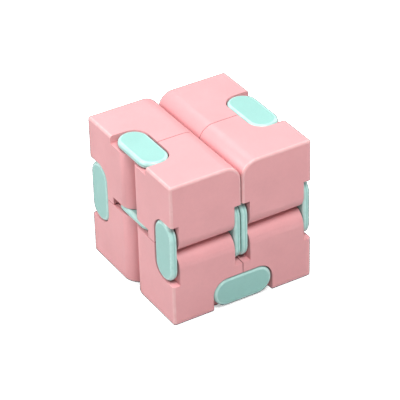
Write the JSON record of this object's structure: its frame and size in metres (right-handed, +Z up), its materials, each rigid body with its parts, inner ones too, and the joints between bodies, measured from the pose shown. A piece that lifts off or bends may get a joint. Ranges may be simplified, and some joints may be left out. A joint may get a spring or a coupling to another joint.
{
  "type": "folding fidget cube",
  "caption": "Block of small hollow cubes joined in a closed loop by double-pivot link hinges, so it folds over and over in the hand.",
  "frame": {"origin": "middle of the closed block's underside, where the four lower small cubes meet", "axes": "+Z up as the block rests; +X to the right and -Y towards the front, where one front link and one side link of each pair show"},
  "size_m": [0.04, 0.04, 0.04],
  "materials": {
    "casing": "satin moulded ABS, light pink",
    "cover": "satin moulded ABS, light pink",
    "plate": "satin moulded ABS, mint green",
    "pin": "ground steel pin"
  },
  "bodies": {
    "upper_front_left_cube": {"upper_front_left_shell": "casing", "upper_front_left_cover": "cover"},
    "upper_rear_left_cube": {"upper_rear_left_shell": "casing", "upper_rear_left_cover": "cover", "top_left_rear_pin": "pin"},
    "lower_front_left_cube": {"lower_front_left_shell": "casing", "lower_front_left_cover": "cover"},
    "lower_front_right_cube": {"lower_front_right_shell": "casing", "lower_front_right_cover": "cover"},
    "upper_front_right_cube": {"upper_front_right_shell": "casing", "upper_front_right_cover": "cover"},
    "upper_rear_right_cube": {"upper_rear_right_shell": "casing", "upper_rear_right_cover": "cover"},
    "lower_rear_left_cube": {"lower_rear_left_shell": "casing", "lower_rear_left_cover": "cover"},
    "lower_rear_right_cube": {"lower_rear_right_shell": "casing", "lower_rear_right_cover": "cover"},
    "top_left_link": {"top_left_outer_plate": "plate", "top_left_inner_plate": "plate", "top_left_front_pin": "pin"},
    "front_left_link": {"front_left_outer_plate": "plate", "front_left_inner_plate": "plate", "front_left_upper_pin": "pin", "front_left_lower_pin": "pin"},
    "bottom_front_link": {"bottom_front_outer_plate": "plate", "bottom_front_inner_plate": "plate", "bottom_front_left_pin": "pin", "bottom_front_right_pin": "pin"},
    "front_right_link": {"front_right_outer_plate": "plate", "front_right_inner_plate": "plate", "front_right_upper_pin": "pin", "front_right_lower_pin": "pin"},
    "top_right_link": {"top_right_outer_plate": "plate", "top_right_inner_plate": "plate", "top_right_front_pin": "pin", "top_right_rear_pin": "pin"},
    "rear_right_link": {"rear_right_outer_plate": "plate", "rear_right_inner_plate": "plate", "rear_right_upper_pin": "pin", "rear_right_lower_pin": "pin"},
    "bottom_rear_link": {"bottom_rear_outer_plate": "plate", "bottom_rear_inner_plate": "plate", "bottom_rear_left_pin": "pin", "bottom_rear_right_pin": "pin"},
    "rear_left_link": {"rear_left_outer_plate": "plate", "rear_left_inner_plate": "plate", "rear_left_upper_pin": "pin", "rear_left_lower_pin": "pin"}
  },
  "joints": [
    {"name": "book_fold", "type": "hinge", "parent": "bottom_front_link", "child": "lower_front_right_cube", "pos_m": [0.0044, -0.01005, 0.0043], "axis": [0, -1, 0], "range_deg": [-90, 0]},
    {"name": "bottom_front_left_pivot", "type": "hinge", "parent": "bottom_front_link", "child": "lower_front_left_cube", "pos_m": [-0.0044, -0.01005, 0.0043], "axis": [0, 1, 0], "range_deg": [-90, 0]},
    {"name": "bottom_rear_right_pivot", "type": "hinge", "parent": "lower_rear_right_cube", "child": "bottom_rear_link", "pos_m": [0.0044, 0.01005, 0.0043], "axis": [0, 1, 0], "range_deg": [-90, 0]},
    {"name": "bottom_rear_left_pivot", "type": "hinge", "parent": "bottom_rear_link", "child": "lower_rear_left_cube", "pos_m": [-0.0044, 0.01005, 0.0043], "axis": [0, 1, 0], "range_deg": [-90, 0]},
    {"name": "front_fold", "type": "hinge", "parent": "lower_front_right_cube", "child": "front_right_link", "pos_m": [0.01005, -0.0157, 0.0156], "axis": [1, 0, 0], "range_deg": [0, 90]},
    {"name": "front_right_upper_pivot", "type": "hinge", "parent": "front_right_link", "child": "upper_front_right_cube", "pos_m": [0.01005, -0.0157, 0.0244], "axis": [1, 0, 0], "range_deg": [0, 90]},
    {"name": "front_left_lower_pivot", "type": "hinge", "parent": "lower_front_left_cube", "child": "front_left_link", "pos_m": [-0.01005, -0.0157, 0.0156], "axis": [1, 0, 0], "range_deg": [0, 90]},
    {"name": "front_left_upper_pivot", "type": "hinge", "parent": "front_left_link", "child": "upper_front_left_cube", "pos_m": [-0.01005, -0.0157, 0.0244], "axis": [1, 0, 0], "range_deg": [0, 90]},
    {"name": "rear_fold", "type": "hinge", "parent": "upper_rear_right_cube", "child": "rear_right_link", "pos_m": [0.01005, 0.0157, 0.0244], "axis": [1, 0, 0], "range_deg": [0, 90]},
    {"name": "rear_right_lower_pivot", "type": "hinge", "parent": "rear_right_link", "child": "lower_rear_right_cube", "pos_m": [0.01005, 0.0157, 0.0156], "axis": [1, 0, 0], "range_deg": [0, 90]},
    {"name": "rear_left_lower_pivot", "type": "hinge", "parent": "lower_rear_left_cube", "child": "rear_left_link", "pos_m": [-0.01005, 0.0157, 0.0156], "axis": [-1, 0, 0], "range_deg": [0, 90]},
    {"name": "rear_left_upper_pivot", "type": "hinge", "parent": "rear_left_link", "child": "upper_rear_left_cube", "pos_m": [-0.01005, 0.0157, 0.0244], "axis": [-1, 0, 0], "range_deg": [0, 90]},
    {"name": "row_fold", "type": "hinge", "parent": "upper_front_right_cube", "child": "top_right_link", "pos_m": [0.0157, -0.0044, 0.03005], "axis": [0, 0, 1], "range_deg": [-90, 0]},
    {"name": "top_right_rear_pivot", "type": "hinge", "parent": "top_right_link", "child": "upper_rear_right_cube", "pos_m": [0.0157, 0.0044, 0.03005], "axis": [0, 0, 1], "range_deg": [-90, 0]},
    {"name": "top_left_front_pivot", "type": "hinge", "parent": "upper_front_left_cube", "child": "top_left_link", "pos_m": [-0.0157, -0.0044, 0.03005], "axis": [0, 0, -1], "range_deg": [-90, 0]}
  ],
  "couplings": [
    {"joint": "bottom_front_left_pivot", "follows": "book_fold", "ratio": 1},
    {"joint": "bottom_rear_right_pivot", "follows": "book_fold", "ratio": 1},
    {"joint": "bottom_rear_left_pivot", "follows": "book_fold", "ratio": 1},
    {"joint": "front_right_upper_pivot", "follows": "front_fold", "ratio": 1},
    {"joint": "front_left_lower_pivot", "follows": "front_fold", "ratio": 1},
    {"joint": "front_left_upper_pivot", "follows": "front_fold", "ratio": 1},
    {"joint": "rear_right_lower_pivot", "follows": "rear_fold", "ratio": 1},
    {"joint": "rear_left_lower_pivot", "follows": "rear_fold", "ratio": 1},
    {"joint": "rear_left_upper_pivot", "follows": "rear_fold", "ratio": 1},
    {"joint": "top_right_rear_pivot", "follows": "row_fold", "ratio": 1},
    {"joint": "top_left_front_pivot", "follows": "row_fold", "ratio": 1}
  ]
}
